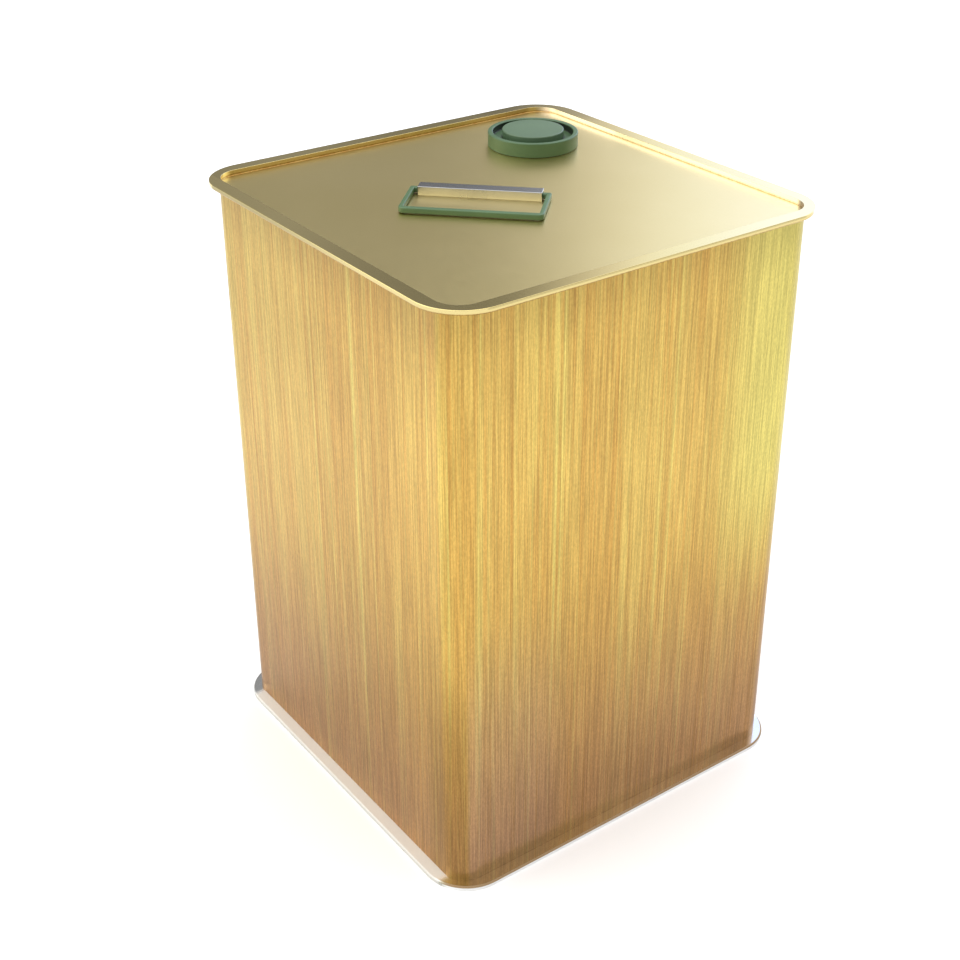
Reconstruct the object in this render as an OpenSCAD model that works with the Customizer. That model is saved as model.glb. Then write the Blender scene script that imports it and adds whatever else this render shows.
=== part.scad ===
// Square ten-litre oil tin: brushed gold body, recessed lid with a green
// fold-down handle and a green pull-out spout, bare metal bottom end.
// The origin is at the middle of the base. X and Y run along the sides, Z is up.

/* [Tin] */
// Height of the tin from the base to the top of the rim
tin_h = 286; // [240:1:330]
// Width over the rims, the same both ways
rim_w = 204; // [200:0.5:208]
// How far the rims stand out beyond the body on each side
rim_out = 6; // [4.5:0.1:8]
// Corner radius of the body
body_corner_r = 12; // [9:0.5:16]
// Corner radius of the rims
rim_corner_r = 22; // [18:0.5:26]
// Thickness of a rim, from its flat top to its underside
rim_t = 2.3; // [1.8:0.1:3]
// How far the lid panel lies below the top of the rim
panel_drop = 2.4; // [1.8:0.1:3.6]
// Thickness of the body sheet
body_sheet = 0.35; // [0.25:0.05:0.5]
// Thickness of the sheet of the two ends
end_sheet = 0.35; // [0.25:0.05:0.5]

/* [Side weld] */
// Distance of the side weld from the body's right-hand back corner
weld_in = 36; // [24:1:60]
// Width of the lapped weld
weld_w = 1.2; // [0.8:0.1:2]
// How far the lap stands proud of the body
weld_h = 0.2; // [0.1:0.05:0.3]
// Width of the lacquer stripe that covers the weld inside
stripe_w = 12; // [8:1:20]
// Thickness of the lacquer stripe
stripe_t = 0.1; // [0.05:0.05:0.2]

/* [Neck of the lid] */
// Distance of the spout's middle from the body's right-hand side
neck_right_in = 41.5; // [36:0.5:48]
// Distance of the spout's middle from the body's back
neck_back_in = 45; // [39:0.5:51]
// Inner radius of the drawn neck
neck_r = 16; // [15.7:0.1:16.4]
// Height of the neck above the lid panel
neck_h = 2; // [1.8:0.1:2.3]
// Radius of the curl round the neck's edge
curl_r = 0.7; // [0.5:0.1:0.8]
// Thickness of the gasket on the curl
gasket_t = 0.6; // [0.4:0.1:1]

/* [Spout] */
// Outer radius of the collar
collar_r = 21.8; // [21:0.1:24]
// Height of the collar above the lid panel
collar_h = 6.9; // [6.5:0.1:8]
// Radius of the finger recess in the collar
recess_r = 19.4; // [19.1:0.1:20]
// Thickness of the floor of the finger recess
web_t = 1; // [0.8:0.1:1.3]
// Radius of the collar's bore that guides the sleeve
guide_r = 13.6; // [13.4:0.1:13.8]
// Wall of the guide below the recess floor
guide_wall = 1.5; // [1.2:0.1:1.6]
// How far the guide reaches below the lid panel
guide_drop = 3; // [2:0.5:5]
// How far the sleeve pulls out
spout_travel = 22; // [15:1:30]
// Radius of the bore that the oil runs through
spout_bore_r = 11.4; // [10:0.1:11.6]
// Clearance of the sleeve in its guide
slide_gap = 0.25; // [0.2:0.05:0.4]
// Radius of the screw neck at the top of the sleeve
screw_r = 12.9; // [12.6:0.1:13]
// Thickness of the sleeve's flange, which rests on the recess floor
flange_t = 0.5; // [0.4:0.1:0.7]
// Thickness of the stop lip at the foot of the sleeve
lip_t = 1.2; // [1:0.1:2]
// Thickness of the seal on the stop lip
seal_t = 1; // [0.8:0.1:1.5]

/* [Cap] */
// Radius of the cap
cap_r = 14.85; // [14.6:0.05:15]
// How far the cap's top stands above the collar
cap_proud = 1.1; // [0.5:0.1:2]
// Thickness of the cap's top
cap_t = 1; // [0.8:0.1:1.4]
// Clearance of the cap round the screw neck
screw_gap = 0.3; // [0.2:0.05:0.4]
// Thickness of the liner inside the cap
liner_t = 0.5; // [0.4:0.1:0.8]

/* [Handle] */
// Angle of the handle's hinge line from the X axis
handle_angle = -45; // [-60:5:-30]
// Shift of the handle along its hinge line, towards the left corner
handle_side = 10.6; // [0:0.1:15]
// Shift of the hinge line from the middle of the lid, towards the front corner
handle_front = 3; // [0:0.5:6]
// Length of the bail over its two arms
bail_l = 63.4; // [60:0.2:70]
// Reach of the bail from the hinge line to its front edge
bail_reach = 28.2; // [24:0.2:32]
// Width of the bail's bars, seen from above
bail_bar = 2.8; // [2.4:0.1:3.2]
// Thickness of the bail's bars, and diameter of its hinge pins
bail_t = 2.6; // [2:0.1:2.8]
// Outer corner radius of the bail at its front corners
bail_corner_r = 3; // [2.6:0.1:5]
// How far each pin reaches into the strap
pin_l = 6; // [4:0.5:9]
// Length of the strap that holds the pins
strap_l = 55.6; // [52:0.2:56]
// Width of the strap
strap_w = 6.4; // [5.8:0.1:7]
// Thickness of the strap's sheet
strap_t = 0.8; // [0.6:0.1:1]
// Outer radius of the strap's two bends
bend_r = 1; // [0.9:0.1:1.6]
// Clearance above and below the pins in the strap
pin_gap = 0.3; // [0.2:0.05:0.4]
// Length of the welded feet in the middle of the strap
foot_l = 30; // [20:1:34]
// Width of each welded foot
foot_w = 1.6; // [1.2:0.1:2]

/* [Fits] */
// Gap between the chuck wall of an end and the body
wall_gap = 0.05; // [0.03:0.01:0.1]
// Gap between the hem's lower edge and the body
hem_gap = 0.4; // [0.2:0.1:0.8]
// Gap between flat faces of pieces that move on each other
rest_gap = 0.1; // [0.05:0.05:0.2]
// Chamfer on the moulded pieces' edges
edge = 0.4; // [0.2:0.1:0.6]

/* [Hidden] */
$fn = 96;

gold = "#c8a055";
panel_gold = "#b7a474";
bare = "#d2d2cf";
moss = "#5d8763";
rubber = "#5a5a55";
white = "#eeeeea";

body_half = rim_w / 2 - rim_out;
body_in_half = body_half - body_sheet;
body_in_r = body_corner_r - body_sheet;
weld_y = body_half - weld_in;
chuck_half = body_in_half - wall_gap;
chuck_r = body_in_r - wall_gap;

// The rim's outer edge is a half tube that follows this path.
bead_r = rim_t / 2;
path_half = rim_w / 2 - bead_r;
path_r = rim_corner_r - bead_r;

// Three sheets lie in a rim, with sealing compound above and below the middle one.
seam_gap = (rim_t - 2 * end_sheet - body_sheet) / 2;
body_end = end_sheet + seam_gap;

panel_z = tin_h - panel_drop;
neck_x = body_half - neck_right_in;
neck_y = body_half - neck_back_in;
curl_ring_r = neck_r + end_sheet / 2 + curl_r;
curl_out_r = curl_ring_r + curl_r;

// Heights of the spout's pieces above the lid panel
web_z = neck_h + gasket_t;
recess_z = web_z + web_t;
flange_z = recess_z + rest_gap;
cap_z = flange_z + flange_t + 2 * rest_gap;
cap_top = collar_h + cap_proud;
liner_top = cap_top - cap_t - rest_gap / 2;
sleeve_top = liner_top - liner_t - rest_gap / 2;
lip_top = -guide_drop - spout_travel - seal_t - rest_gap;
sleeve_r = guide_r - slide_gap;
lip_r = guide_r + guide_wall - edge;
snap_r = curl_out_r - 0.4;
snap_top = neck_h - 2 * curl_r - rest_gap;

pin_r = bail_t / 2;
pin_z = pin_r + pin_gap;
strap_h = bail_t + 2 * pin_gap + strap_t;

// A square with rounded corners, given by half its width.
module rounded_square(half, r) {
    square([2 * half, 2 * (half - r)], center = true);
    square([2 * (half - r), 2 * half], center = true);
    for (x = [-1, 1], y = [-1, 1])
        translate([x * (half - r), y * (half - r)]) circle(r);
}

// The flat band between two rounded squares.
module band(out_half, out_r, in_half, in_r) {
    difference() {
        rounded_square(out_half, out_r);
        rounded_square(in_half, in_r);
    }
}

// Carries a profile, drawn outwards from the path, round the rim's path.
module round_the_rim() {
    straight = 2 * (path_half - path_r);
    for (turn = [0:3]) rotate(90 * turn) {
        translate([path_half, straight / 2, 0])
            rotate([90, 0, 0]) linear_extrude(straight) children();
        translate([path_half - path_r, path_half - path_r, 0])
            rotate_extrude(angle = 90) translate([path_r, 0]) children();
    }
}

// The outer half of a disc, or of a ring when it has a hole.
module half_disc(r, hole_r = 0) {
    difference() {
        intersection() {
            circle(r);
            translate([0, -r]) square([r, 2 * r]);
        }
        if (hole_r > 0) circle(hole_r);
    }
}

// One end of the tin as pressed and hemmed, with its rim's flat face at z = 0.
module end_pressing() {
    translate([0, 0, -end_sheet])
        linear_extrude(end_sheet)
            band(path_half, path_r, chuck_half - end_sheet, chuck_r - end_sheet);
    translate([0, 0, -bead_r]) round_the_rim() half_disc(bead_r, bead_r - end_sheet);
    translate([0, 0, -rim_t])
        linear_extrude(end_sheet)
            band(path_half, path_r, body_half + hem_gap, body_corner_r + hem_gap);
    translate([0, 0, -panel_drop - end_sheet])
        linear_extrude(panel_drop + end_sheet)
            band(chuck_half, chuck_r, chuck_half - end_sheet, chuck_r - end_sheet);
    translate([0, 0, -panel_drop - end_sheet])
        linear_extrude(end_sheet) rounded_square(chuck_half, chuck_r);
}

// The sealing compound that fills one rim round the body's flange.
module rim_filling() {
    translate([0, 0, -body_end])
        linear_extrude(seam_gap) band(path_half, path_r, body_in_half, body_in_r);
    translate([0, 0, -rim_t + end_sheet])
        linear_extrude(seam_gap)
            band(path_half, path_r, body_half + hem_gap, body_corner_r + hem_gap);
    translate([0, 0, -bead_r]) round_the_rim() half_disc(bead_r - end_sheet);
}

module body_shell() {
    wall_h = tin_h - 2 * body_end;
    weld_len = tin_h - 2 * rim_t - 2 * hem_gap;
    color(gold) {
        translate([0, 0, body_end])
            linear_extrude(wall_h) band(body_half, body_corner_r, body_in_half, body_in_r);
        for (z = [body_end, tin_h - body_end - body_sheet])
            translate([0, 0, z])
                linear_extrude(body_sheet) band(path_half, path_r, body_in_half, body_in_r);
        translate([body_half - body_sheet / 2, weld_y - weld_w / 2, rim_t + hem_gap])
            cube([body_sheet / 2 + weld_h, weld_w, weld_len]);
    }
}

module side_stripe() {
    low = panel_drop + end_sheet + 2 * rest_gap;
    color(white)
        translate([body_in_half - stripe_t, weld_y - stripe_w / 2, low])
            cube([stripe_t, stripe_w, tin_h - 2 * low]);
}

module top_end() {
    color(panel_gold) {
        difference() {
            translate([0, 0, tin_h]) end_pressing();
            translate([neck_x, neck_y, panel_z - 2 * end_sheet]) cylinder(r = neck_r, h = 4 * end_sheet);
        }
        translate([neck_x, neck_y, panel_z - end_sheet]) drawn_neck();
    }
}

// The neck's wall and the curl round its edge, from the panel's underside up.
module drawn_neck() {
    curl_z = end_sheet + neck_h - curl_r;
    difference() {
        cylinder(r = neck_r + end_sheet, h = curl_z);
        translate([0, 0, -end_sheet]) cylinder(r = neck_r, h = curl_z + 2 * end_sheet);
    }
    translate([0, 0, curl_z]) rotate_extrude() translate([curl_ring_r, 0]) circle(curl_r);
}

module top_seam_compound() {
    color(rubber) translate([0, 0, tin_h]) rim_filling();
}

module bottom_end() {
    color(bare) mirror([0, 0, 1]) end_pressing();
}

module bottom_seam_compound() {
    color(rubber) mirror([0, 0, 1]) rim_filling();
}

// Places a piece of the spout: z = 0 is the lid panel's top face.
module at_neck() {
    translate([neck_x, neck_y, panel_z]) children();
}

module spout_collar() {
    guide_out = guide_r + guide_wall;
    color(moss) at_neck() rotate_extrude() polygon([
        [guide_r, -guide_drop],
        [guide_out, -guide_drop],
        [guide_out, web_z],
        [recess_r, web_z],
        [recess_r, snap_top + edge],
        [snap_r, snap_top],
        [snap_r, rest_gap],
        [collar_r, rest_gap],
        [collar_r, collar_h - edge],
        [collar_r - edge, collar_h],
        [recess_r + edge, collar_h],
        [recess_r, collar_h - edge],
        [recess_r, recess_z],
        [guide_r, recess_z]
    ]);
}

module neck_gasket() {
    color(white) at_neck() translate([0, 0, neck_h]) difference() {
        cylinder(r = curl_out_r + rest_gap, h = gasket_t);
        translate([0, 0, -gasket_t]) cylinder(r = neck_r, h = 3 * gasket_t);
    }
}

module spout_sleeve() {
    color(moss) at_neck() rotate_extrude() polygon([
        [spout_bore_r, lip_top - lip_t],
        [lip_r, lip_top - lip_t],
        [lip_r, lip_top],
        [sleeve_r, lip_top],
        [sleeve_r, flange_z],
        [cap_r - rest_gap, flange_z],
        [cap_r - rest_gap, flange_z + flange_t],
        [screw_r, flange_z + flange_t],
        [screw_r, sleeve_top - edge],
        [screw_r - edge, sleeve_top],
        [spout_bore_r, sleeve_top]
    ]);
}

module stop_seal() {
    color(rubber) at_neck() translate([0, 0, lip_top]) difference() {
        cylinder(r = lip_r, h = seal_t);
        translate([0, 0, -seal_t]) cylinder(r = sleeve_r, h = 3 * seal_t);
    }
}

module spout_cap() {
    cap_in = screw_r + screw_gap;
    color(moss) at_neck() rotate_extrude() polygon([
        [0, cap_top - cap_t],
        [cap_in, cap_top - cap_t],
        [cap_in, cap_z],
        [cap_r, cap_z],
        [cap_r, cap_top - edge],
        [cap_r - edge, cap_top],
        [0, cap_top]
    ]);
}

module cap_liner() {
    color(white) at_neck() translate([0, 0, liner_top - liner_t])
        cylinder(r = screw_r, h = liner_t);
}

// Places a piece of the handle: x runs along the hinge line, -y is the front,
// and z = 0 is the lid panel's top face.
module at_handle() {
    translate([0, 0, panel_z]) rotate(handle_angle)
        translate([-handle_side, -handle_front, 0]) children();
}

module handle_strap() {
    inner_w = strap_w - 2 * strap_t;
    color(bare) at_handle() {
        rotate([90, 0, 90]) linear_extrude(strap_l, center = true) difference() {
            arch(strap_w, strap_h, bend_r);
            translate([0, -strap_h]) arch(inner_w, 2 * strap_h - strap_t, bend_r - strap_t);
        }
        for (side = [-1, 1])
            translate([-foot_l / 2, side * (inner_w - foot_w) / 2 - foot_w / 2, 0])
                cube([foot_l, foot_w, strap_t]);
    }
}

// An upright rectangle, standing on the X axis, with its two top corners rounded.
module arch(width, height, r) {
    translate([-width / 2, 0]) square([width, height - r]);
    translate([r - width / 2, 0]) square([width - 2 * r, height]);
    for (side = [-1, 1]) translate([side * (width / 2 - r), height - r]) circle(r);
}

module handle_bail() {
    arm_x = bail_l / 2 - bail_bar;
    pin_in = strap_l / 2 - pin_l;
    color(moss) at_handle() {
        translate([0, 0, pin_gap]) linear_extrude(bail_t) difference() {
            bail_outline();
            translate([-arm_x, bail_bar - bail_reach]) square([2 * arm_x, 2 * bail_reach]);
        }
        for (side = [-1, 1]) {
            translate([side * (pin_in + bail_l / 2 - pin_r) / 2, 0, pin_z])
                rotate([0, 90, 0])
                    cylinder(r = pin_r, h = bail_l / 2 - pin_r - pin_in, center = true);
            translate([side * (bail_l / 2 - pin_r), 0, pin_z]) sphere(pin_r);
        }
    }
}

// The bail's outline from above, from the hinge line to the front edge.
module bail_outline() {
    corner_x = bail_l / 2 - bail_corner_r;
    translate([-bail_l / 2, bail_corner_r - bail_reach])
        square([bail_l, bail_reach - bail_corner_r - pin_r]);
    translate([pin_r - bail_l / 2, -pin_r - 1]) square([bail_l - 2 * pin_r, pin_r + 1]);
    translate([-corner_x, -bail_reach]) square([2 * corner_x, bail_reach - pin_r]);
    for (side = [-1, 1])
        translate([side * corner_x, bail_corner_r - bail_reach]) circle(bail_corner_r);
}

body_shell();
side_stripe();
top_end();
top_seam_compound();
bottom_end();
bottom_seam_compound();
spout_collar();
neck_gasket();
spout_sleeve();
stop_seal();
spout_cap();
cap_liner();
handle_strap();
handle_bail();
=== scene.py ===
import math

import bpy
import numpy as np
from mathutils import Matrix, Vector


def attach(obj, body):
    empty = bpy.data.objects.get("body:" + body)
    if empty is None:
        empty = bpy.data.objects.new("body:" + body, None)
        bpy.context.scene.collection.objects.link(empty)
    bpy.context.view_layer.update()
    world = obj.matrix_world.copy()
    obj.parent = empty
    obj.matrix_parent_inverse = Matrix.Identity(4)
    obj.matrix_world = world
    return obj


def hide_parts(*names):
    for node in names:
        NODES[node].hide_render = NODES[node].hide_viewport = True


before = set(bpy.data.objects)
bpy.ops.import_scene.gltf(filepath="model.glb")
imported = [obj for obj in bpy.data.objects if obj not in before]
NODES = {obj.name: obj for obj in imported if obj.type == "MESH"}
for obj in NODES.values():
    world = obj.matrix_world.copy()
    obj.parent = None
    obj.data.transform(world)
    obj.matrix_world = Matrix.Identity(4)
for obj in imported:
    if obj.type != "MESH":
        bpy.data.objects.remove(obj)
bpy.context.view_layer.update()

# Sizes of the tin in millimetres, as in the part's source.
TIN_H = 286.0
RIM_HALF, RIM_R = 102.0, 22.0
BODY_HALF, BODY_R = 96.0, 12.0
RIM_T = 2.3
PANEL_DROP = 2.4
SHEET = 0.35
BEAD_R = RIM_T / 2
PATH_HALF = RIM_HALF - BEAD_R
PANEL_Z = TIN_H - PANEL_DROP
FLANGE_Z = 0.975
CHUCK = 95.25
HEM_GAP = 0.02
NECK = np.array([54.5, 51.0])
WELD_Y = 60.0

CORNER_STEPS, SIDE_STEPS = 20, 40


# ---------------------------------------------------------------- shapes

def ring_frame():
    """Two unit shapes round the tin: C goes from corner to corner of a square, D is the outward direction."""
    c, d = [], []
    for q in range(4):
        a = np.linspace(0, math.pi / 2, CORNER_STEPS + 1) + q * math.pi / 2
        corner = np.array([math.cos(q * math.pi / 2 + math.pi / 4), math.sin(q * math.pi / 2 + math.pi / 4)]) * math.sqrt(2)
        c.append(np.tile(corner, (len(a), 1)))
        d.append(np.stack([np.cos(a), np.sin(a)], 1))
        following = np.array([-corner[1], corner[0]])
        t = np.linspace(0, 1, SIDE_STEPS + 1)[1:-1, None]
        c.append(corner * (1 - t) + following * t)
        d.append(np.tile(d[-1][-1], (len(t), 1)))
    return np.concatenate(c), np.concatenate(d)


RING_C, RING_D = ring_frame()


def corner_radius(half):
    """Corner radius of the ring whose half width is given: body, then flange, then rim."""
    return np.interp(half, [BODY_HALF - BODY_R, BODY_HALF, PATH_HALF, RIM_HALF], [0, BODY_R, RIM_R - BEAD_R, RIM_R])


def square_rings(half):
    """Rounded squares of the given half widths: (half - r) C + r D for every point round the tin."""
    half = np.asarray(half, float)
    r = corner_radius(half)
    return (half - r)[:, None, None] * RING_C + r[:, None, None] * RING_D


def rounded_path(rows, steps=8):
    """A path of (x, z, radius) corners with each corner replaced by the arc of that radius that touches both its sides."""
    rows = np.asarray(rows, float)
    out = [rows[0, :2]]
    for before, here, after in zip(rows[:-2], rows[1:-1], rows[2:]):
        p, r = here[:2], here[2]
        u, v = before[:2] - p, after[:2] - p
        u, v = u / np.linalg.norm(u), v / np.linalg.norm(v)
        if r <= 0:
            out.append(p)
            continue
        half_angle = math.acos(np.clip(u @ v, -1, 1)) / 2
        middle = p + (u + v) / np.linalg.norm(u + v) * r / math.sin(half_angle)
        a, b = p + u * r / math.tan(half_angle) - middle, p + v * r / math.tan(half_angle) - middle
        t = np.linspace(0, 1, steps + 1)[:, None]
        arc = a * (1 - t) + b * t
        out.extend(middle + arc / np.linalg.norm(arc, axis=1, keepdims=True) * r)
    out.append(rows[-1, :2])
    return np.array(out)


def arc(cx, cz, r, start, end, steps):
    """Points on a circle in the section's plane, from one angle to another in degrees."""
    a = np.radians(np.linspace(start, end, steps + 1))
    return np.stack([cx + r * np.cos(a), cz + r * np.sin(a)], 1)


def surface(name, grid, body, material, around=True, along=False, poles=(), caps=False, replaces=(), weighted=True):
    """A mesh through a grid of points in millimetres. around joins the last column to the first, along the last row to
    the first, poles closes the first or last row with one middle point, and caps closes both with a strip of faces
    from each column to its opposite one."""
    rows, cols = grid.shape[:2]
    verts = grid.reshape(-1, 3)
    i, j = np.meshgrid(np.arange(rows if along else rows - 1), np.arange(cols if around else cols - 1), indexing="ij")
    i2, j2 = (i + 1) % rows, (j + 1) % cols
    quads = np.stack([i * cols + j, i * cols + j2, i2 * cols + j2, i2 * cols + j], -1).reshape(-1, 4)
    fans = []
    for end in poles:
        row = 0 if end == "first" else rows - 1
        k = np.arange(cols)
        ring = row * cols + k
        following = row * cols + (k + 1) % cols
        middle = np.full(cols, len(verts))
        verts = np.concatenate([verts, grid[row].mean(0)[None]])
        fans.append(np.stack([middle, following, ring] if end == "first" else [middle, ring, following], 1))
    if caps:
        k = np.arange(cols // 2 - 1)
        strip = np.stack([k, k + 1, cols - 2 - k, cols - 1 - k], 1)
        fans += [strip[:, ::-1], strip + (rows - 1) * cols]
    return mesh_piece(name, verts, [quads] + fans, body, material, replaces, weighted)


def mesh_piece(name, verts, faces, body, material, replaces=(), weighted=True):
    """A smooth mesh object from points in millimetres and arrays of faces, turned to face outwards."""
    verts = np.asarray(verts, float)
    corners = [verts[f] for f in faces]
    volume = sum((np.cross(c[:, 1], c[:, 2]) * c[:, 0]).sum() + ((np.cross(c[:, 2], c[:, 3]) * c[:, 0]).sum() if c.shape[1] == 4 else 0)
                 for c in corners)
    if body and volume < 0:
        faces = [f[:, ::-1] for f in faces]
    mesh = bpy.data.meshes.new(name)
    sizes = np.concatenate([np.full(len(f), f.shape[1]) for f in faces])
    loops = np.concatenate([f.ravel() for f in faces])
    mesh.vertices.add(len(verts))
    mesh.vertices.foreach_set("co", (verts * 0.001).astype(np.float32).ravel())
    mesh.loops.add(len(loops))
    mesh.loops.foreach_set("vertex_index", loops.astype(np.int32))
    mesh.polygons.add(len(sizes))
    mesh.polygons.foreach_set("loop_start", (np.cumsum(sizes) - sizes).astype(np.int32))
    mesh.polygons.foreach_set("use_smooth", np.ones(len(sizes), bool))
    mesh.update(calc_edges=True)
    mesh.validate()
    piece = bpy.data.objects.new(name, mesh)
    bpy.context.scene.collection.objects.link(piece)
    mesh.materials.append(material)
    if weighted:
        modifier = piece.modifiers.new("even_shading", "WEIGHTED_NORMAL")
        modifier.weight = 80
    if body:
        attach(piece, body)
        for node in replaces:
            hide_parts(node)
    return piece


def lathe(profile, x, y, z, steps=128):
    """Points of a profile of (radius, height) turned round the upright line through (x, y), with z added."""
    a = np.arange(steps) * 2 * math.pi / steps
    r, h = profile[:, 0][:, None], profile[:, 1][:, None]
    return np.stack([x + r * np.cos(a), y + r * np.sin(a), np.broadcast_to(z + h, (len(profile), steps))], -1)


# ---------------------------------------------------------------- materials

def new_material(name):
    """An empty node material with its output and shader joined, and a function that adds and joins nodes."""
    material = bpy.data.materials.new(name)
    material.use_nodes = True
    tree = material.node_tree
    tree.nodes.clear()
    output = tree.nodes.new("ShaderNodeOutputMaterial")
    shader = tree.nodes.new("ShaderNodeBsdfPrincipled")
    tree.links.new(shader.outputs["BSDF"], output.inputs["Surface"])

    def add(kind, inputs=None, **settings):
        node = tree.nodes.new("ShaderNode" + kind)
        for key, value in settings.items():
            setattr(node, key, value)
        for key, value in (inputs or {}).items():
            if isinstance(value, bpy.types.NodeSocket):
                tree.links.new(value, node.inputs[key])
            else:
                node.inputs[key].default_value = value
        return node

    return material, tree, shader, add


def link(tree, source, target):
    tree.links.new(source, target)


def grain(add, scale, detail=3.0, roughness=0.55, offset=(0, 0, 0)):
    """Noise from 0 to 1 on Object coordinates, stretched by the given scale per metre along each axis."""
    coords = add("TexCoord").outputs["Object"]
    mapped = add("Mapping", {"Vector": coords, "Scale": scale, "Location": offset}).outputs["Vector"]
    return add("TexNoise", {"Vector": mapped, "Scale": 1.0, "Detail": detail, "Roughness": roughness}).outputs["Fac"]


def ramp(add, value, stops):
    """A colour ramp with (position, colour) stops."""
    node = add("ValToRGB", {"Fac": value})
    elements = node.color_ramp.elements
    while len(elements) < len(stops):
        elements.new(1.0)
    for element, (position, colour) in zip(elements, stops):
        element.position = position
        element.color = (*colour, 1) if len(colour) == 3 else colour
    return node.outputs["Color"]


def span(add, value, low, high, to_low=0.0, to_high=1.0, smooth=True):
    """Maps value from low..high to to_low..to_high, held at the ends."""
    node = add("MapRange", {"Value": value, "From Min": low, "From Max": high, "To Min": to_low, "To Max": to_high})
    node.interpolation_type = "SMOOTHSTEP" if smooth else "LINEAR"
    return node.outputs["Result"]


def sums(add, operation, a, b):
    node = add("Math", operation=operation)
    for k, v in enumerate((a, b)):
        if isinstance(v, bpy.types.NodeSocket):
            node.id_data.links.new(v, node.inputs[k])
        else:
            node.inputs[k].default_value = v
    return node.outputs[0]


def mix_colour(add, factor, a, b, blend="MIX"):
    node = add("MixRGB", blend_type=blend)
    for k, v in enumerate((factor, a, b)):
        if isinstance(v, bpy.types.NodeSocket):
            node.id_data.links.new(v, node.inputs[k])
        else:
            node.inputs[k].default_value = v if k == 0 else (*v, 1)
    return node.outputs[0]


def bump(add, height, distance, strength=1.0):
    return add("Bump", {"Height": height, "Distance": distance, "Strength": strength}).outputs["Normal"]


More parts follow.
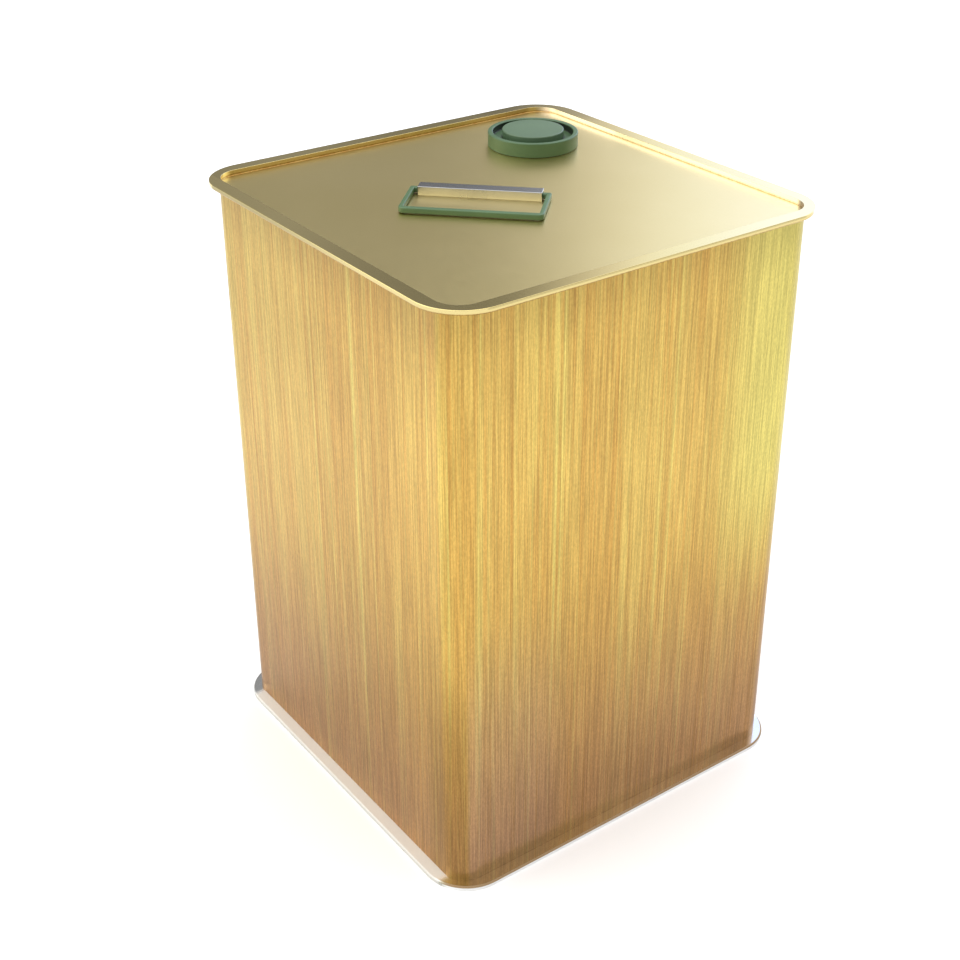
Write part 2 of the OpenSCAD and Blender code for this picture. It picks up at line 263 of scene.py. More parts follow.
def brushed_gold():
    """Gold lacquer over sheet brushed up and down: lemon streaks on tan, with fine dark lines and a grain in the gloss.
    Painted light and shade lie in the colour: more lemon towards the top, darker and browner towards the bottom, darker
    under the rim, a painted glow and a painted bluish reflection on the -Y side, a painted sheen on the -X side by the
    front corner and painted shade low on the front corner.
    """
    material, tree, shader, add = new_material("brushed_gold")
    fine = grain(add, (1900, 1900, 27), 4, 0.66)
    lines = grain(add, (540, 540, 5.2), 4, 0.64, (3.1, 1.7, 0))
    bands = grain(add, (60, 60, 3), 3, 0.5, (8.4, 5.2, 1.3))
    bright = span(add, grain(add, (370, 370, 1.9), 4, 0.63, (5.3, 9.1, 0.4)), 0.56, 0.70)
    burnt = span(add, grain(add, (690, 690, 3.4), 4, 0.63, (1.9, 6.6, 2.2)), 0.54, 0.70)
    place = add("SeparateXYZ", {"Vector": add("TexCoord").outputs["Object"]})
    # Painted light: the streaks turn more lemon towards the top.
    height = span(add, place.outputs["Z"], 0.0, 0.26, -0.10, 0.04)
    amount = sums(add, "ADD", sums(add, "MULTIPLY", bands, 0.7), sums(add, "MULTIPLY", lines, 1.1))
    amount = sums(add, "ADD", amount, height)
    lemon = span(add, amount, 0.72, 1.12)
    # Painted shade: the colours below are darker and browner towards the bottom.
    painted_height_shade = span(add, place.outputs["Z"], 0.0, 0.15)
    tan = mix_colour(add, painted_height_shade, (0.515, 0.278, 0.113), (0.60, 0.345, 0.078))
    gold = mix_colour(add, painted_height_shade, (0.555, 0.345, 0.138), (0.68, 0.475, 0.120))
    colour = mix_colour(add, lemon, tan, gold)
    colour = mix_colour(add, sums(add, "MULTIPLY", burnt, 0.5), colour, (0.50, 0.25, 0.05))
    colour = mix_colour(add, sums(add, "MULTIPLY", bright, 0.6), colour, mix_colour(add, painted_height_shade, (0.60, 0.42, 0.15), (0.76, 0.65, 0.17)))
    # Painted highlight: a lemon glow at the +X end of the -Y side, above the bottom.
    right = span(add, place.outputs["X"], 0.026, 0.080)
    front = span(add, sums(add, "MULTIPLY", place.outputs["Y"], -1.0), 0.03, 0.092)
    painted_glow = sums(add, "MULTIPLY", sums(add, "MULTIPLY", right, front), span(add, place.outputs["Z"], 0.08, 0.18, 0.0, 0.85))
    colour = mix_colour(add, painted_glow, colour, (0.70, 0.61, 0.16))
    # Painted shade: darker just under the rim. The fine grain and the speckle below are the sheet's own tone.
    shade = span(add, place.outputs["Z"], 0.255, 0.284, 1.0, 0.80)
    dark = sums(add, "MULTIPLY", shade, span(add, fine, 0.34, 0.66, 0.78, 1.16))
    dark = sums(add, "MULTIPLY", dark, span(add, grain(add, (1500, 1500, 560), 2, 0.6, (4.4, 2.8, 7.1)), 0.3, 0.7, 0.91, 1.09))
    colour = mix_colour(add, 1.0, colour, add("CombineXYZ", {"X": dark, "Y": dark, "Z": dark}).outputs[0], "MULTIPLY")
    # Painted reflection: a bluish haze low on the -Y side, short of the front corner.
    painted_reflection_haze = sums(add, "MULTIPLY", span(add, place.outputs["X"], -0.055, -0.030, 1.0, 0.0), span(add, place.outputs["Z"], 0.08, 0.16, 1.0, 0.0))
    painted_reflection_haze = sums(add, "MULTIPLY", painted_reflection_haze, span(add, place.outputs["X"], -0.0915, -0.0885))
    painted_reflection_haze = sums(add, "MULTIPLY", painted_reflection_haze, span(add, place.outputs["Y"], -0.0955, -0.0940, 1.0, 0.0))
    colour = mix_colour(add, painted_reflection_haze, colour, (0.98, 1.04, 1.33), "MULTIPLY")
    # Painted sheen: the -X side is lighter towards the front corner, below the rim.
    painted_sheen = sums(add, "MULTIPLY", span(add, place.outputs["X"], -0.0957, -0.0945, 1.0, 0.0), span(add, place.outputs["Y"], -0.085, -0.03, 1.0, 0.0))
    painted_sheen = sums(add, "MULTIPLY", painted_sheen, span(add, place.outputs["Z"], 0.23, 0.27, 1.0, 0.0))
    colour = mix_colour(add, painted_sheen, colour, (1.12, 1.16, 1.13), "MULTIPLY")
    # Painted shade: darker and browner low on the front corner.
    painted_corner_shade = sums(add, "MULTIPLY", span(add, place.outputs["X"], -0.0905, -0.0885, 1.0, 0.0), span(add, place.outputs["Y"], -0.078, -0.070, 1.0, 0.0))
    painted_corner_shade = sums(add, "MULTIPLY", painted_corner_shade, span(add, place.outputs["Z"], 0.05, 0.14, 1.0, 0.0))
    colour = mix_colour(add, painted_corner_shade, colour, (0.80, 0.79, 0.63), "MULTIPLY")
    link(tree, colour, shader.inputs["Base Color"])
    shader.inputs["Metallic"].default_value = 1.0
    link(tree, span(add, fine, 0.3, 0.7, 0.36, 0.26, False), shader.inputs["Roughness"])
    shader.inputs["Anisotropic"].default_value = 0.75
    link(tree, add("Tangent", direction_type="RADIAL", axis="Z").outputs[0], shader.inputs["Tangent"])
    link(tree, bump(add, sums(add, "ADD", fine, lines), 0.00002, 0.35), shader.inputs["Normal"])
    shader.inputs["Coat Weight"].default_value = 0.25
    shader.inputs["Coat Roughness"].default_value = 0.22
    return material


def satin_gold():
    """Satin gold lacquer of the lid, with a faint cloudiness and fine roller grain. Painted light and shade lie in its
    colour:
    painted shade in the crease at the foot of the rim's wall, a painted highlight on that wall at +X, and painted light
    and shade on the rim's flat, bead and back corner.
    """
    material, tree, shader, add = new_material("satin_gold")
    cloud = grain(add, (14, 14, 14), 3, 0.5)
    fine = grain(add, (900, 160, 900), 3, 0.6)
    speck = grain(add, (2600, 2600, 2600), 2, 0.6)
    place = add("SeparateXYZ", {"Vector": add("TexCoord").outputs["Object"]})
    x, height = place.outputs["X"], place.outputs["Z"]
    rolled = span(add, height, (PANEL_Z + 0.3) / 1000, (PANEL_Z + 0.5) / 1000)
    colour = mix_colour(add, span(add, cloud, 0.35, 0.65), (0.79, 0.645, 0.28), (0.81, 0.665, 0.30))
    shade = span(add, speck, 0.3, 0.7, 0.985, 1.01)
    colour = mix_colour(add, 1.0, colour, add("CombineXYZ", {"X": shade, "Y": shade, "Z": shade}).outputs[0], "MULTIPLY")
    # Painted shade: a dark brown line in the crease at the foot of the rim's wall, broken up by a grain.
    above = span(add, height, (PANEL_Z + 0.01) / 1000, (PANEL_Z + 0.06) / 1000)
    painted_crease_shade = sums(add, "MULTIPLY", above, span(add, height, (PANEL_Z + 0.5) / 1000, (PANEL_Z + 1.0) / 1000, 1.0, 0.0))
    painted_crease_shade = sums(add, "MULTIPLY", painted_crease_shade, span(add, grain(add, (700, 700, 700), 3, 0.6), 0.35, 0.6, 0.55, 0.9))
    # Painted light and shade on the rim: on the -X side towards the back its flat is lighter and its outer bead darker,
    # its back corner is darker, and the top of its bead on the -Y side is darker.
    left = span(add, place.outputs["Y"], -0.06, 0.04)
    flat = sums(add, "MULTIPLY", left, span(add, x, -0.0958, -0.0950, 0.18, 0.0))
    edge = sums(add, "MULTIPLY", left, span(add, x, -0.10195, -0.1017, 0.50, 0.0))
    back = span(add, sums(add, "ADD", x, place.outputs["Y"]), 0.150, 0.172, 0.0, 0.28)
    painted_rim_tone = sums(add, "SUBTRACT", sums(add, "ADD", flat, 1.0), sums(add, "MULTIPLY", edge, 1.18))
    painted_rim_tone = sums(add, "SUBTRACT", painted_rim_tone, sums(add, "MULTIPLY", back, rolled))
    brow = sums(add, "MULTIPLY", span(add, place.outputs["Y"], -0.1018, -0.1016, 0.23, 0.0), span(add, height, (TIN_H - 1.0) / 1000, (TIN_H - 0.7) / 1000))
    painted_rim_tone = sums(add, "SUBTRACT", painted_rim_tone, brow)
    colour = mix_colour(add, 1.0, colour, add("CombineXYZ", {"X": painted_rim_tone, "Y": painted_rim_tone, "Z": painted_rim_tone}).outputs[0], "MULTIPLY")
    # Painted highlight: a pale band on the rim's inner wall on the +X side.
    pale = sums(add, "MULTIPLY", span(add, x, 0.088, 0.0935), span(add, x, 0.0956, 0.0962, 1.0, 0.0))
    pale = sums(add, "MULTIPLY", pale, span(add, height, (PANEL_Z + 0.05) / 1000, (PANEL_Z + 0.3) / 1000))
    pale = sums(add, "MULTIPLY", pale, span(add, height, (TIN_H - 0.15) / 1000, (TIN_H - 0.05) / 1000, 1.0, 0.0))
    colour = mix_colour(add, pale, colour, (0.98, 0.90, 0.98))
    colour = mix_colour(add, sums(add, "MULTIPLY", painted_crease_shade, sums(add, "SUBTRACT", 1.0, sums(add, "MULTIPLY", pale, 0.5))), colour, (0.42, 0.22, 0.05))
    link(tree, colour, shader.inputs["Base Color"])
    shader.inputs["Metallic"].default_value = 1.0
    rough = sums(add, "SUBTRACT", span(add, fine, 0.3, 0.7, 0.28, 0.31, False), sums(add, "MULTIPLY", rolled, 0.15))
    link(tree, rough, shader.inputs["Roughness"])
    link(tree, bump(add, fine, 0.000002, 0.08), shader.inputs["Normal"])
    return material


def bare_tinplate(name, low, high, rough, painted_ledge_light=False):
    """Bright bare tinplate: a soft mirror with faint roller lines and tiny stains. The top of the strap is painted
    darker as shade. With painted_ledge_light the bottom rim gets painted light and shade: on the left (-X) side a matt
    whitish painted reflection over the ledge, on the -Y side a darker brown painted reflection of the body and an outer
    wall painted white below and dark brown above."""
    material, tree, shader, add = new_material(name)
    lines = grain(add, (60, 1400, 60), 3, 0.6)
    stain = grain(add, (45, 45, 45), 4, 0.6, (2.2, 0, 0))
    colour = mix_colour(add, span(add, stain, 0.45, 0.75), high, low)
    shader.inputs["Metallic"].default_value = 1.0
    gloss = sums(add, "ADD", span(add, stain, 0.3, 0.75, rough, rough + 0.06), span(add, lines, 0.3, 0.7, 0.0, 0.2 * max(0.2 - rough, 0.0)))
    place = add("SeparateXYZ", {"Vector": add("TexCoord").outputs["Object"]})
    # Painted shade: anything over 3.75 mm above the lid's panel, the top of the strap, is darker.
    shade = span(add, place.outputs["Z"], 0.28735, 0.28750, 1.0, 0.64)
    colour = mix_colour(add, 1.0, colour, add("CombineXYZ", {"X": shade, "Y": shade, "Z": shade}).outputs[0], "MULTIPLY")
    if painted_ledge_light:
        # Painted reflection: the bottom rim on the -Y side is darker and browner, most towards the front corner, as the
        # gold body mirrored in it.
        painted_body_reflection = sums(add, "MULTIPLY", span(add, place.outputs["Y"], -0.0885, -0.0855, 1.0, 0.0), span(add, place.outputs["X"], -0.06, 0.02, 1.0, 0.50))
        colour = mix_colour(add, painted_body_reflection, colour, (0.545, 0.53, 0.40), "MULTIPLY")
        # Painted light and shade: the rim's outer wall on the -Y side is white below and dark brown above.
        far = add("VectorMath", {0: add("TexCoord").outputs["Object"]}, operation="ABSOLUTE").outputs["Vector"]
        far = add("VectorMath", {0: far, 1: (0.08, 0.08, 1)}, operation="SUBTRACT").outputs["Vector"]
        far = add("VectorMath", {0: far, 1: (0, 0, 0)}, operation="MAXIMUM").outputs["Vector"]
        far = add("VectorMath", {0: far}, operation="LENGTH").outputs["Value"]
        edge = sums(add, "MULTIPLY", span(add, far, 0.0211, 0.0214), span(add, place.outputs["Y"], -0.092, -0.086, 1.0, 0.0))
        painted_wall_light_shade = mix_colour(add, span(add, place.outputs["Z"], 0.0014, 0.0017), (0.95, 0.95, 0.94), (0.30, 0.19, 0.085))
        # Painted reflection: on the -X side the bottom rim is made matt and whitish, with the stain grain in it.
        ledge = span(add, place.outputs["X"], -0.0965, -0.0955, 1.0, 0.0)
        ledge = sums(add, "MULTIPLY", ledge, span(add, place.outputs["Y"], -0.0905, -0.0825))
        ledge = sums(add, "MULTIPLY", ledge, span(add, place.outputs["Y"], 0.081, 0.087, 1.0, 0.0))
        ledge = sums(add, "MULTIPLY", ledge, span(add, stain, 0.3, 0.7, 0.88, 0.95))
        colour = mix_colour(add, edge, mix_colour(add, ledge, colour, (0.68, 0.65, 0.60)), painted_wall_light_shade)
        ledge = sums(add, "MAXIMUM", ledge, edge)
        link(tree, sums(add, "SUBTRACT", 1.0, ledge), shader.inputs["Metallic"])
        gloss = sums(add, "ADD", gloss, sums(add, "MULTIPLY", ledge, 0.4))
    link(tree, colour, shader.inputs["Base Color"])
    link(tree, gloss, shader.inputs["Roughness"])
    link(tree, bump(add, lines, 0.000002, 0.12), shader.inputs["Normal"])
    return material


def green_plastic(name, low, high, recess=False):
    """Satin moulded plastic: soft green with faint flow marks and a fine eroded skin. In the collar's recess, painted
    shade darkens the steep wall and the ring of floor next to the cap."""
    material, tree, shader, add = new_material(name)
    flow = grain(add, (60, 60, 110), 3, 0.5)
    skin = grain(add, (2400, 2400, 2400), 3, 0.6)
    colour = mix_colour(add, span(add, flow, 0.3, 0.7), low, high)
    if recess:
        place = add("VectorMath", {0: add("TexCoord").outputs["Object"], 1: (*NECK / 1000, PANEL_Z / 1000)}, operation="SUBTRACT").outputs["Vector"]
        height = add("SeparateXYZ", {"Vector": place}).outputs["Z"]
        across = add("VectorMath", {0: place, 1: (1, 1, 0)}, operation="MULTIPLY").outputs["Vector"]
        radius = add("VectorMath", {0: across}, operation="LENGTH").outputs["Value"]
        # Painted shade: near black on the recess's steep wall and on the floor next to the cap.
        wall = sums(add, "MULTIPLY", span(add, radius, 0.0188, 0.0193), span(add, radius, 0.0195, 0.0197, 1.0, 0.0))
        wall = sums(add, "MULTIPLY", wall, span(add, height, 0.0063, 0.0067, 0.97, 0.0))
        foot = sums(add, "MULTIPLY", span(add, radius, 0.0150, 0.0158, 0.8, 0.0), span(add, height, 0.0040, 0.0050, 1.0, 0.0))
        colour = mix_colour(add, sums(add, "MAXIMUM", wall, foot), colour, (0.006, 0.010, 0.005))
    link(tree, colour, shader.inputs["Base Color"])
    link(tree, span(add, skin, 0.3, 0.7, 0.33, 0.45, False), shader.inputs["Roughness"])
    shader.inputs["Specular IOR Level"].default_value = 0.5
    link(tree, bump(add, skin, 0.00001, 0.3), shader.inputs["Normal"])
    return material


def soft_material(name, low, high, rough, scale, distance):
    """A matt soft piece: a mottled colour with a fine uneven skin."""
    material, tree, shader, add = new_material(name)
    mottle = grain(add, (scale, scale, scale), 4, 0.6)
    skin = grain(add, (scale * 8, scale * 8, scale * 8), 3, 0.6)
    link(tree, mix_colour(add, span(add, mottle, 0.3, 0.7), low, high), shader.inputs["Base Color"])
    link(tree, span(add, skin, 0.3, 0.7, rough, rough + 0.12, False), shader.inputs["Roughness"])
    link(tree, bump(add, skin, distance, 0.5), shader.inputs["Normal"])
    return material


GOLD = brushed_gold()
LID_GOLD = satin_gold()
TINPLATE = bare_tinplate("bare_tinplate", (0.78, 0.775, 0.755), (0.86, 0.86, 0.85), 0.07, painted_ledge_light=True)
STEEL = bare_tinplate("strap_steel", (0.56, 0.56, 0.565), (0.63, 0.63, 0.635), 0.22)
GREEN = green_plastic("green_plastic", (0.066, 0.130, 0.054), (0.078, 0.149, 0.063))
# Painted shade: the collar's green is a darker copy of the sleeve's.
SHADED_COLLAR_GREEN = green_plastic("shaded_collar_green", (0.056, 0.114, 0.047), (0.066, 0.130, 0.055), recess=True)
# Painted light: the cap's green is a lighter, greyer copy of the sleeve's, for its lit top.
LIT_CAP_GREEN = green_plastic("lit_cap_green", (0.078, 0.136, 0.072), (0.090, 0.152, 0.081))
RUBBER = soft_material("seal_rubber", (0.075, 0.072, 0.066), (0.11, 0.106, 0.096), 0.6, 120, 0.00002)
FOAM = soft_material("soft_white", (0.78, 0.775, 0.75), (0.86, 0.86, 0.84), 0.7, 260, 0.00003)
LACQUER = soft_material("lacquer_white", (0.74, 0.72, 0.66), (0.82, 0.81, 0.76), 0.38, 90, 0.00001)


# ---------------------------------------------------------------- tin

def body_wall():
    """The body: one sheet profile, wall and two flanges, carried round the rounded square."""
    low, high = FLANGE_Z, TIN_H - FLANGE_Z
    inner = BODY_HALF - SHEET
    outside = rounded_path([(PATH_HALF, low + SHEET, 0), (BODY_HALF, low + SHEET, 0.6),
                            (BODY_HALF, high - SHEET, 0.6), (PATH_HALF, high - SHEET, 0)])
    inside = rounded_path([(PATH_HALF, high, 0), (inner, high, 0.95), (inner, low, 0.95), (PATH_HALF, low, 0)])
    profile = np.concatenate([outside, inside])
    rings = square_rings(profile[:, 0])
    z = np.broadcast_to(profile[:, 1][:, None, None], rings.shape[:2] + (1,))
    grid = np.concatenate([rings, z], -1)[::-1]
    return surface("body_wall", grid, "tin", GOLD, along=True, replaces=["body_shell"])


def end_profile():
    """The section of an end as pressed and hemmed, as (half width, height below the rim's flat top), from the panel's
    outer face round the rim to the panel's inner face."""
    return rounded_path([
        (CHUCK - 1.6, -PANEL_DROP, 0), (CHUCK, -PANEL_DROP, 0.2), (CHUCK, 0, 0.15), (RIM_HALF, 0, 0.25), (RIM_HALF, -RIM_T, 0.8),
        (BODY_HALF + HEM_GAP, -RIM_T, 0.05), (BODY_HALF + HEM_GAP, -RIM_T + SHEET, 0.05),
        (RIM_HALF - SHEET, -RIM_T + SHEET, 0.55), (RIM_HALF - SHEET, -SHEET, 0.2), (CHUCK + SHEET, -SHEET, 0.15),
        (CHUCK + SHEET, -PANEL_DROP - SHEET, 0.65), (CHUCK - 1.6, -PANEL_DROP - SHEET, 0)], 6)


def lid():
    """The top end. Its rings go from the rounded square of the rim to the round neck of the spout, by a straight blend
    across the flat panel, and the neck's section ends in a curl."""
    profile = end_profile()
    outer = np.concatenate([square_rings(profile[:, 0]), np.broadcast_to(profile[:, 1][:, None, None] + TIN_H, (len(profile), len(RING_C), 1))], -1)
    edge = square_rings([CHUCK - 1.6])[0]
    away = edge - NECK
    direction = away / np.linalg.norm(away, axis=1, keepdims=True)
    curl_r = 0.7875
    curl_x, curl_z = 16 + curl_r, 2 - curl_r
    roll = arc(curl_x, curl_z, curl_r, 180, -120, 18)
    back = arc(curl_x, curl_z, curl_r - SHEET, -120, 170, 14)
    inside = rounded_path([(17.6, -SHEET, 0), (16, -SHEET, 0.3), (16, curl_z, 0)], 5)[:-1]
    outside = rounded_path([(16.35, curl_z, 0), (16.35, 0, 0.35), (17.6, 0, 0)], 5)
    neck = np.concatenate([inside, roll, back, outside])
    rings = NECK + neck[:, 0][:, None, None] * direction
    inner = np.concatenate([rings, np.broadcast_to(neck[:, 1][:, None, None] + PANEL_Z, (len(neck), len(RING_C), 1))], -1)
    share = np.linspace(0, 1, 6)[1:-1, None, None]
    under_panel = outer[-1] * (1 - share) + inner[0] * share
    top_panel = inner[-1] * (1 - share) + outer[0] * share
    grid = np.concatenate([outer, under_panel, inner, top_panel])
    return surface("lid", grid, "tin", LID_GOLD, along=True, replaces=["top_end"])


def base_end():
    """The bottom end: the same pressing upside down, its panel closed at the middle."""
    profile = end_profile()
    half, z = profile[:, 0], -profile[:, 1]
    grid = np.concatenate([square_rings(half), np.broadcast_to(z[:, None, None], (len(z), len(RING_C), 1))], -1)
    shrink = np.linspace(0.02, 1, 7)[:-1, None, None]
    first = grid[0] * np.array([1, 1, 0]) * shrink + grid[0] * np.array([0, 0, 1])
    last = grid[-1] * np.array([1, 1, 0]) * shrink[::-1] + grid[-1] * np.array([0, 0, 1])
    grid = np.concatenate([first, grid, last])[::-1]
    return surface("base_end", grid, "tin", TINPLATE, poles=("first", "last"), replaces=["bottom_end"])


def side_weld():
    """The lapped weld up the hidden side: a low ridge whose height ripples along it, 0.2 (1 - u^4) times the ripple,
    over a flat back inside the sheet."""
    z = np.linspace(RIM_T + 0.45, TIN_H - RIM_T - 0.45, 1400)
    u = np.linspace(-1, 1, 13)
    ripple = 0.93 + 0.07 * np.cos(2 * math.pi * z / 0.9)[:, None]
    ridge = BODY_HALF - 0.02 + 0.2 * (1 - u ** 4)[None] * ripple
    back = np.full(ridge.shape, BODY_HALF - 0.1)
    x = np.concatenate([ridge, back], 1)
    y = np.broadcast_to(WELD_Y + 0.6 * np.concatenate([u, u[::-1]]), x.shape)
    grid = np.stack([x, y, np.broadcast_to(z[:, None], x.shape)], -1)
    return surface("side_weld", grid, "tin", TINPLATE, caps=True, weighted=False)


# ---------------------------------------------------------------- spout

def thread_lathe(rows, x, y, z, root, crest, low, high, pitch=3.0, steps=160):
    """A turned wall with a thread: its radius follows a rounded ridge that climbs one pitch a turn and fades out at
    both ends."""
    a = np.arange(steps) * 2 * math.pi / steps
    h = np.linspace(low, high, rows)[:, None]
    phase = (h / pitch - a / (2 * math.pi)) % 1.0
    ridge = np.clip(1.35 * np.cos(2 * math.pi * (phase - 0.5)) ** 3, 0, 1)
    fade = np.clip((h - low) / 0.3, 0, 1) * np.clip((high - h) / 0.3, 0, 1)
    r = root + (crest - root) * ridge * fade
    return np.stack([x + r * np.cos(a), y + r * np.sin(a), np.broadcast_to(z + h, r.shape)], -1)


def collar():
    """The ring of the spout: an outer wall snapped over the neck's curl, the finger recess and the guide bore."""
    e = 0.45
    profile = rounded_path([
        (13.6, 1.0, 0), (13.6, -3, 0.2), (15.1, -3, 0.2), (15.1, 2.6, 0.2), (19.4, 2.6, 0.2), (19.4, 1.0, 0.2),
        (17.175, 0.5, 0.2), (17.175, 0.1, 0.1), (21.8, 0.1, 0.25), (21.8, 6.9, 0.5), (19.4, 6.9, e), (19.4, 3.6, 0.35),
        (13.6, 3.6, 0.25), (13.6, 1.0, 0)], 6)[:-1]
    return surface("collar", lathe(profile, *NECK, PANEL_Z, 160)[::-1], "tin", SHADED_COLLAR_GREEN, along=True, replaces=["spout_collar"])


def sleeve():
    """The sliding spout: bore, pouring lip, screw neck, flange and stop lip."""
    outer_low = rounded_path([(11.4, 2.0, 0), (11.4, -27.3, 0.3), (14.7, -27.3, 0.35), (14.7, -26.1, 0.3),
                              (13.35, -26.1, 0.1), (13.35, 3.7, 0.1), (14.75, 3.7, 0.15), (14.75, 4.2, 0.15),
                              (12.6, 4.2, 0)], 5)
    top = rounded_path([(12.6, 6.3, 0), (12.6, 6.4, 0.05), (11.4, 6.4, 0.35), (11.4, 2.0, 0)], 5)[:-1]
    low_part = lathe(outer_low, *NECK, PANEL_Z, 160)
    thread = thread_lathe(24, *NECK, PANEL_Z, 12.6, 12.95, 4.22, 6.28)
    top_part = lathe(top, *NECK, PANEL_Z, 160)
    grid = np.concatenate([low_part, thread, top_part])
    return surface("sleeve", grid[::-1], "spout", GREEN, along=True, replaces=["spout_sleeve"], weighted=False)


def cap():
    """The cap: a shallow cup with a rounded top edge, closed at its middle on both faces."""
    outside = rounded_path([(0.3, 8.0, 0), (14.85, 8.0, 0.5), (14.85, 4.4, 0.2), (13.35, 4.4, 0.15), (13.35, 7.0, 0.3), (0.3, 7.0, 0)], 6)
    return surface("cap", lathe(outside, *NECK, PANEL_Z, 160), "cap", LIT_CAP_GREEN, poles=("first", "last"), replaces=["spout_cap"])


# ---------------------------------------------------------------- handle

HANDLE_TURN = math.radians(-45)


def at_handle(points):
    """Moves points from the handle's own frame, x along the hinge line and -y to the front, to the tin's."""
    p = np.array(points, float) + [-10.6, -3, 0]
    c, s = math.cos(HANDLE_TURN), math.sin(HANDLE_TURN)
    return np.stack([c * p[..., 0] - s * p[..., 1], s * p[..., 0] + c * p[..., 1], p[..., 2] + PANEL_Z], -1)


def bail():
    """The folding handle: sections between matching points of an inner and an outer outline, from one pin round the
    front bar to the other. The section is a superellipse, round on the pins and squarer on the bars."""
    half, bar, side_bar, reach, t = 31.7, 2.8, 2.2, 28.2, 1.3
    pin_in = 21.8
    outer, inner, square = [], [], []

    def turn(start, end):
        a = np.radians(np.linspace(start, end, 9))
        return np.stack([np.cos(a), np.sin(a)], 1)

    def add(o, i, s):
        outer.append(o); inner.append(i); square.append(s)

    for x in (pin_in, pin_in + 0.15, pin_in + 4, 27.8):
        add((-x, t), (-x, -t), 0.0 if x < 27.5 else 0.35)
    back = turn(90, 180)
    for n, u in enumerate(back):
        add((-half + 1.3 + 1.3 * u[0], 1.3 * u[1]), (-half + side_bar + 0.35 + 0.35 * u[0], -1.3 - 0.35 + 0.35 * u[1]), 0.35 + 0.65 * n / (len(back) - 1))
    for y in np.linspace(-3, -reach + 3.4, 6):
        add((-half, y), (-half + side_bar, y), 1.0)
    for u in turn(180, 270):
        add((-half + 2.6 + 2.6 * u[0], -reach + 2.6 + 2.6 * u[1]), (-half + side_bar + 0.5 + 0.5 * u[0], -reach + bar + 0.5 + 0.5 * u[1]), 1.0)
    outer, inner, square = np.array(outer), np.array(inner), np.array(square)
    flip = np.array([-1, 1])
    middle_x = np.linspace(-half + 4, half - 4, 9)
    middle_o = np.stack([middle_x, np.full(9, -reach)], 1)
    middle_i = np.stack([middle_x, np.full(9, -reach + bar)], 1)
    outer = np.concatenate([outer, middle_o, outer[::-1] * flip])
    inner = np.concatenate([inner, middle_i, inner[::-1] * flip])
    square = np.concatenate([square, np.ones(9), square[::-1]])
    a = np.arange(32) * 2 * math.pi / 32
    power = (2 / (2 + 3.5 * square))[:, None]
    across = np.sign(np.cos(a)) * np.abs(np.cos(a)) ** power
    up = np.sign(np.sin(a)) * np.abs(np.sin(a)) ** power
    middle, side = (outer + inner) / 2, (outer - inner) / 2
    xy = middle[:, None] + across[..., None] * side[:, None]
    grid = at_handle(np.concatenate([xy, (1.6 + t * up)[..., None]], -1))
    return surface("bail", grid, "bail", GREEN, poles=("first", "last"), replaces=["handle_bail"])


def strap():
    """The strap that holds the pins: an arch between an outer and an inner outline, carried along x, thinner at the very
    ends, and the two feet by which it is welded to the lid."""
    outer = rounded_path([(-3.2, 0, 0), (-3.2, 4, 0.25), (3.2, 4, 0.25), (3.2, 0, 0)], 7)
    inner = rounded_path([(-2.4, 0, 0), (-2.4, 3.2, 0.1), (2.4, 3.2, 0.1), (2.4, 0, 0)], 7)
    carry("strap", outer, inner, 27.8, ["handle_strap"])
    for side, name in ((1, "strap_foot_back"), (-1, "strap_foot_front")):
        lower = np.array([(0.8, 0.0), (2.38, 0.0)]) * [side, 1]
        painted_height_shade = np.array([(0.8, 0.8), (2.38, 0.8)]) * [side, 1]
        carry(name, lower, painted_height_shade, 15.0, [])


def carry(name, outer, inner, length, replaces):
    """A closed bar: the section between two outlines at every x, drawn in towards its middle line at the last 0.3 mm."""
    x = np.array([1, 1 - 0.1 / length, 1 - 0.3 / length, 0.5]) * length
    draw = np.array([0.72, 0.94, 1, 1])
    x, draw = np.concatenate([-x, [0], x[::-1]]), np.concatenate([draw, [1], draw[::-1]])
    middle = (outer + inner) / 2
    ring = np.concatenate([outer, inner[::-1]])
    centre = np.concatenate([middle, middle[::-1]])
    section = centre + (ring - centre) * draw[:, None, None]
    grid = np.concatenate([np.broadcast_to(x[:, None, None], section.shape[:2] + (1,)), section], -1)
    return surface(name, at_handle(grid), "tin", STEEL, caps=True, replaces=replaces)


body_wall()
lid()
base_end()
side_weld()
collar()
sleeve()
cap()
bail()
strap()

for node, material in {
    "side_stripe": LACQUER, "top_seam_compound": RUBBER, "bottom_seam_compound": RUBBER,
    "neck_gasket": FOAM, "stop_seal": RUBBER, "cap_liner": FOAM,
}.items():
    mesh = NODES[node].data
    mesh.materials.clear()
    mesh.materials.append(material)


# ---------------------------------------------------------------- stage

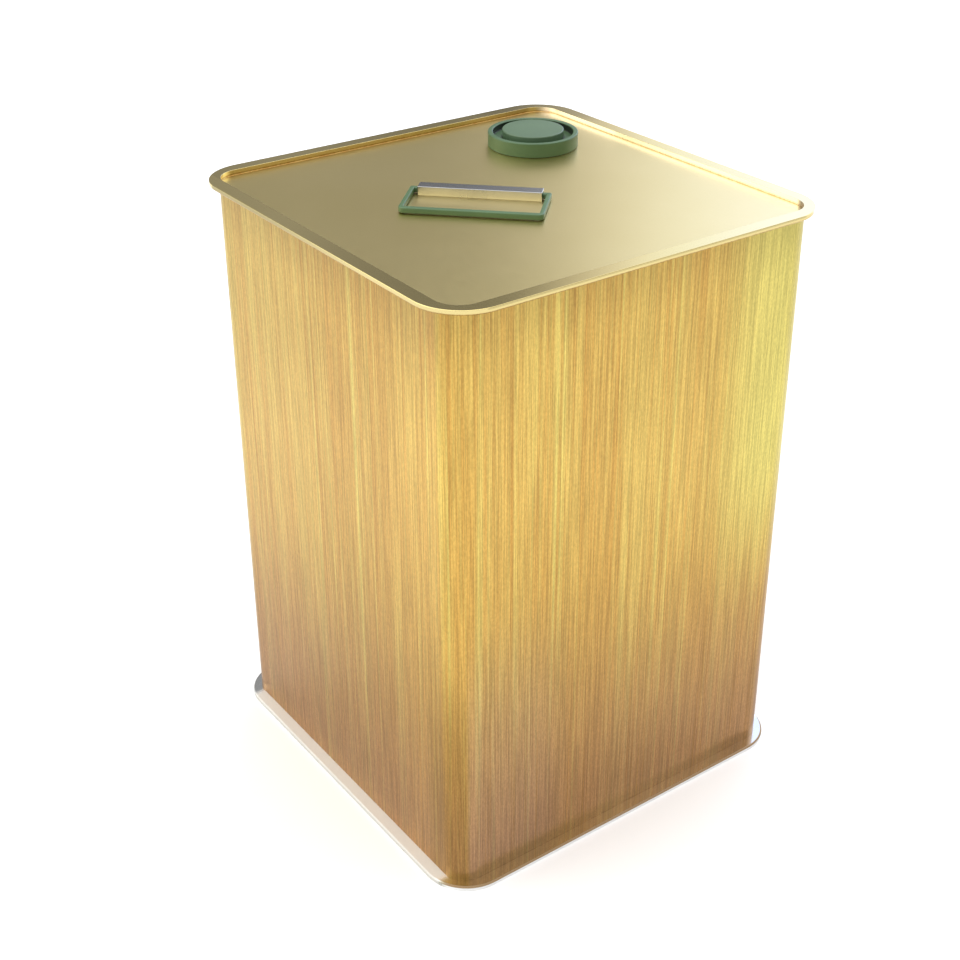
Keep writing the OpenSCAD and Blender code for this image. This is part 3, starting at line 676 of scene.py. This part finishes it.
def floor():
    """A pale matt floor: a flat disc of rings whose radius grows by a steady factor. Rays other than the camera's see
    it darker near the tin, a painted shade.
    """
    material, tree, shader, add = new_material("pale_floor")
    cloud = grain(add, (3, 3, 3), 3, 0.5)
    pale = mix_colour(add, cloud, (0.93, 0.93, 0.925), (0.96, 0.96, 0.955))
    # Painted shade: seen in reflections the floor is darker near the tin; the camera sees it evenly pale.
    away = add("VectorMath", {0: add("TexCoord").outputs["Object"]}, operation="LENGTH").outputs["Value"]
    painted_floor_shade = ramp(add, away, [(r, (v, v, v)) for r, v in ((0.10, 0.62), (0.2, 0.70), (0.3, 0.80), (0.42, 0.86), (0.6, 0.76))])
    seen = add("LightPath").outputs["Is Camera Ray"]
    link(tree, mix_colour(add, seen, painted_floor_shade, pale), shader.inputs["Base Color"])
    shader.inputs["Roughness"].default_value = 0.9
    shader.inputs["Specular IOR Level"].default_value = 0.0
    radius = np.concatenate([[60.0], np.geomspace(200, 9000, 16)])[:, None]
    a = np.arange(96) * 2 * math.pi / 96
    grid = np.stack([radius * np.cos(a), radius * np.sin(a), np.full((len(radius), 96), -0.02)], -1)
    piece = surface("floor", grid, None, material, poles=("first",), weighted=False)
    return piece


def studio():
    """A plain soft studio: white all round, dimmer towards the back left, brighter at the right, bright overhead."""
    world = bpy.data.worlds.new("studio")
    bpy.context.scene.world = world
    world.use_nodes = True
    tree = world.node_tree
    tree.nodes.clear()

    def add(kind, inputs=None, **settings):
        node = tree.nodes.new("ShaderNode" + kind)
        for key, value in settings.items():
            setattr(node, key, value)
        for key, value in (inputs or {}).items():
            if isinstance(value, bpy.types.NodeSocket):
                tree.links.new(value, node.inputs[key])
            else:
                node.inputs[key].default_value = value
        return node

    place = add("SeparateXYZ", {"Vector": add("TexCoord").outputs["Generated"]})
    turn = sums(add, "ARCTAN2", place.outputs["X"], place.outputs["Y"])
    turn = span(add, turn, -math.pi, math.pi, smooth=False)
    grey = [(-180, 0.7), (-150, 0.55), (-125, 0.95), (-90, 1.4), (-22, 0.8), (-5, 0.38), (16, 0.23), (24, 0.27), (28, 0.32),
            (30, 0.285), (33, 0.235), (36.6, 0.235), (38.0, 0.38)]
    white = [(40.5, (0.80, 0.78, 0.79)), (41.8, (1.05, 1.09, 1.14)), (44, (1.18, 1.32, 1.6)), (48, (1.3, 1.5, 2.3)), (75, (1.6, 1.8, 2.2)),
             (105, (1.5, 1.6, 1.9)), (125, (0.7, 0.66, 0.62)), (138, (0.38, 0.33, 0.29)), (152, (0.38, 0.33, 0.29)), (170, (0.7, 0.7, 0.7)), (180, (0.7, 0.7, 0.7))]
    warm = [(-62, (2.45, 2.5, 2.25)), (-38, (2.45, 2.5, 2.25))]
    stops = sorted([(a, (v, v, v)) for a, v in grey] + warm + white)
    band = ramp(add, turn, [((a + 180) / 360, v) for a, v in stops])
    overhead = span(add, place.outputs["Z"], 0.60, 0.80)
    light = mix_colour(add, overhead, band, (2.0, 2.0, 2.0))
    soft = add("Background", {"Color": light, "Strength": 1.0}).outputs[0]
    plain = add("Background", {"Color": (1, 1, 1, 1), "Strength": 1.0}).outputs[0]
    seen = add("LightPath").outputs["Is Camera Ray"]
    both = add("MixShader", {0: seen, 1: soft, 2: plain}).outputs[0]
    tree.links.new(both, add("OutputWorld").inputs["Surface"])


def camera():
    """The photograph's view: 58.2 mm lens on a 36 mm sensor, 36 degrees round and 28 degrees down."""
    data = bpy.data.cameras.new("camera")
    data.lens = 58.2
    data.sensor_width = 36
    data.shift_x = -0.0109
    data.shift_y = -0.0451
    data.clip_start, data.clip_end = 0.02, 50
    cam = bpy.data.objects.new("camera", data)
    yaw, pitch = math.radians(36.13), math.radians(28.14)
    forward = Vector((math.sin(yaw) * math.cos(pitch), math.cos(yaw) * math.cos(pitch), -math.sin(pitch)))
    cam.location = (-0.39266, -0.52675, 0.51344)
    cam.rotation_mode = "QUATERNION"
    cam.rotation_quaternion = forward.to_track_quat("-Z", "Y")
    bpy.context.scene.collection.objects.link(cam)
    bpy.context.scene.camera = cam


floor()
studio()
camera()
bpy.context.scene.view_settings.view_transform = "Standard"
